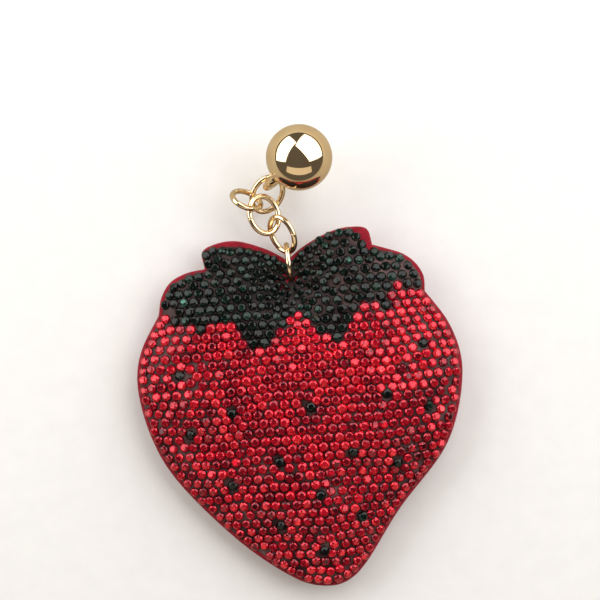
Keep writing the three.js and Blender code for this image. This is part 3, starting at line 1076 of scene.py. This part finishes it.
for k in range(1, 5):
    middle, along, facing = ring_plane(f"link_{k}")
    side = 90 if k % 2 else 270
    link = wire(
        f"link_wire_{k}", middle, along, facing, LINK_HALF, LINK_WIRE, GOLD, join=side
    )
    mount(link, f"link_{k}", "gold", f"link_{k}")

upper_lo, upper_hi = box_of("ball_half_upper")
lower_lo, lower_hi = box_of("ball_half_lower")
ball_middle = (upper_lo + upper_hi) / 2
ball_middle[2] = (upper_lo[2] + lower_hi[2]) / 2
BALL_RADIUS = (upper_hi[2] - lower_lo[2]) / 2


def circle_middle(node, facing):
    """The middle of a round loop's circle, from points of it in its plane."""
    points = corners_of(node)
    start = points.mean(0)
    x = unit(np.cross(facing, [0.3, 0.2, 0.9]))
    y = np.cross(facing, x)
    flat = np.column_stack([(points - start) @ x, (points - start) @ y])
    terms = np.column_stack([2 * flat, np.ones(len(flat))])
    a, b, _ = np.linalg.lstsq(terms, (flat**2).sum(1), rcond=None)[0]
    return start + a * x + b * y


_, _, key_facing = ring_plane("key_ring")
key_middle = circle_middle("key_ring", key_facing)
to_ball = ball_middle - key_middle
key_half, key_turn = (KEY_RADIUS, KEY_RADIUS), (KEY_GAP, 360 - KEY_GAP)
key = wire(
    "key_ring_wire", key_middle, to_ball, key_facing, key_half, KEY_WIRE, GOLD, 220, 26, key_turn
)
mount(key, "key_ring", "gold", "key_ring")


def half_ball(name, sign, steps=90, rings=40):
    """A hemispherical shell whose edge is rolled in a little, so that the halves meet in a line."""
    gap, roll, inner = 0.03, 0.1, BALL_RADIUS - BALL_WALL
    start = math.asin(gap / BALL_RADIUS)
    climbs = start + (math.pi / 2 - start) * np.linspace(0, 1, rings) ** 1.25
    outer = []
    for c in climbs:
        r = BALL_RADIUS - roll * math.exp(-((c - start) * BALL_RADIUS / roll) ** 2)
        outer.append((r * math.cos(c), r * math.sin(c)))
    inside = [(inner * math.cos(c), inner * math.sin(c)) for c in reversed(climbs)]
    inside[-1] = (inner, gap)
    profile = outer[:-1] + [(0.0, BALL_RADIUS)] + [(0.0, inner)] + inside[1:]
    angles = np.arange(steps) * 2 * math.pi / steps
    points, rows = [], []
    for r, h in profile:
        if r < 1e-6:
            rows.append([len(points)])
            points.append((0, 0, h))
        else:
            rows.append(list(range(len(points), len(points) + steps)))
            points.extend((r * math.cos(a), r * math.sin(a), h) for a in angles)
    faces = []
    for a, b in zip(rows, rows[1:] + rows[:1]):
        if len(a) == 1 and len(b) == 1:
            continue
        for s in range(steps):
            t = (s + 1) % steps
            if len(b) == 1:
                faces.append((a[s], a[t], b[0]))
            elif len(a) == 1:
                faces.append((a[0], b[t], b[s]))
            else:
                faces.append((a[s], a[t], b[t], b[s]))
    points = np.array(points)
    if sign < 0:
        points[:, 2] *= -1
        faces = [tuple(reversed(f)) for f in faces]
    return make(name, points + ball_middle, faces, GOLD)


ball_upper, ball_lower = half_ball("ball_shell_upper", 1), half_ball("ball_shell_lower", -1)
bore = wire(
    "bore", key_middle, to_ball, key_facing, key_half, KEY_WIRE + BORE_CLEAR, GOLD, 120, 26
)
cut(ball_lower, bore)
mount(ball_upper, "key_ring", "gold", "ball_half_upper")
mount(ball_lower, "key_ring", "gold", "ball_half_lower")


def sleeve(radius=2.7, length=6.6, thread=0.15, pitch=0.7, bevel=0.85, steps=48, rings=90):
    """The turned sleeve that the ring's ends screw into, hidden in the ball."""
    axis = unit(np.cross(key_facing, to_ball))
    side = unit(to_ball)
    up = np.cross(axis, side)
    points, faces = [], []
    for k in range(rings):
        along = length * (k / (rings - 1) - 0.5)
        for s in range(steps):
            angle = 2 * math.pi * s / steps
            edge = bevel if k in (0, rings - 1) else 1.0
            r = edge * radius + thread * math.sin(2 * math.pi * along / pitch + angle)
            points.append(
                ball_middle + axis * along + r * (math.cos(angle) * side + math.sin(angle) * up)
            )
    for k in range(rings - 1):
        for s in range(steps):
            a, b = k * steps + s, k * steps + (s + 1) % steps
            faces.append((a, b, b + steps, a + steps))
    faces.append(tuple(reversed(range(steps))))
    faces.append(tuple((rings - 1) * steps + s for s in range(steps)))
    return make("ball_clamp_sleeve", points, faces, BRASS)


clamp = sleeve()
cut(clamp, bore)
bpy.data.objects.remove(bore)
mount(clamp, "key_ring", "brass", "ball_sleeve")


# ------------------------ floor, light and camera

paint = Paint("pale_floor", Roughness=0.85)
specks = paint.grain(6, 4)
pale = paint.ramp(specks, (0.3, (0.82, 0.815, 0.808)), (0.7, (0.85, 0.845, 0.838)))
# Mirrored rays see a darker floor than the camera does, so that the metal stands out from it
mirrored = paint.add("ShaderNodeLightPath").outputs["Is Glossy Ray"]
paint.colour(paint.mix(mirrored, pale, (0.45, 0.40, 0.31)))
FLOOR_REACH = 850  # a far larger floor showed as a dark band in low views
FLOOR_SIDES = 96
angles = np.arange(FLOOR_SIDES) * 2 * math.pi / FLOOR_SIDES
rim = FLOOR_REACH * np.column_stack([np.cos(angles), np.sin(angles), np.zeros(FLOOR_SIDES)])
floor = make("floor", rim, [range(FLOOR_SIDES)], paint.material)

FOCUS = Vector((0, 0.02, 0.012))  # what the lights face


def softbox(name, azimuth, elevation, distance, width, height, power, colour):
    """A soft rectangle of light; azimuth 0 is towards +Y and 90 towards +X."""
    light = bpy.data.lights.new(name, "AREA")
    light.shape, light.size, light.size_y = "RECTANGLE", width, height
    light.energy, light.color = power, colour
    obj = bpy.data.objects.new(name, light)
    a, e = math.radians(azimuth), math.radians(elevation)
    away = Vector((math.sin(a) * math.cos(e), math.cos(a) * math.cos(e), math.sin(e)))
    obj.location = FOCUS + away * distance
    obj.rotation_mode = "QUATERNION"
    obj.rotation_quaternion = away.to_track_quat("Z", "Y")
    bpy.context.scene.collection.objects.link(obj)


softbox("softbox_right", 48, 38, 0.62, 1.05, 0.80, 7.0, (1.0, 0.99, 0.98))
softbox("softbox_left", -60, 29, 0.62, 0.95, 0.52, 4.5, (1.0, 0.99, 0.965))
softbox("fill", 180, 38, 0.70, 1.2, 0.34, 0.9, (1.0, 0.86, 0.68))

world = bpy.data.worlds.new("studio")
bpy.context.scene.world = world
world.use_nodes = True
sky = next(n for n in world.node_tree.nodes if n.type == "BACKGROUND")
sky.inputs["Color"].default_value = (0.20, 0.175, 0.15, 1)
sky.inputs["Strength"].default_value = 0.6
# The camera sees a pale backdrop above the floor's edge, where reflections see the dim studio
nodes, join = world.node_tree.nodes, world.node_tree.links.new
backdrop, choice = nodes.new("ShaderNodeBackground"), nodes.new("ShaderNodeMixShader")
backdrop.inputs["Color"].default_value = (0.86, 0.855, 0.85, 1)
join(nodes.new("ShaderNodeLightPath").outputs["Is Camera Ray"], choice.inputs[0])
join(sky.outputs[0], choice.inputs[1])
join(backdrop.outputs[0], choice.inputs[2])
join(choice.outputs[0], next(n for n in nodes if n.type == "OUTPUT_WORLD").inputs["Surface"])

camera_data = bpy.data.cameras.new("camera")
camera = bpy.data.objects.new("camera", camera_data)
bpy.context.scene.collection.objects.link(camera)
CAMERA_HEIGHT = 0.61  # over the pad's face
VIEW_WIDTH = 0.174  # of the photograph, at the pad's face
camera_data.sensor_width = 36
camera_data.lens = 36 * CAMERA_HEIGHT / VIEW_WIDTH
camera_data.clip_start, camera_data.clip_end = 0.05, 20
camera.location = (0.00006, 0.01668, 0.012 + CAMERA_HEIGHT)
bpy.context.scene.camera = camera
bpy.context.scene.view_settings.view_transform = "Standard"
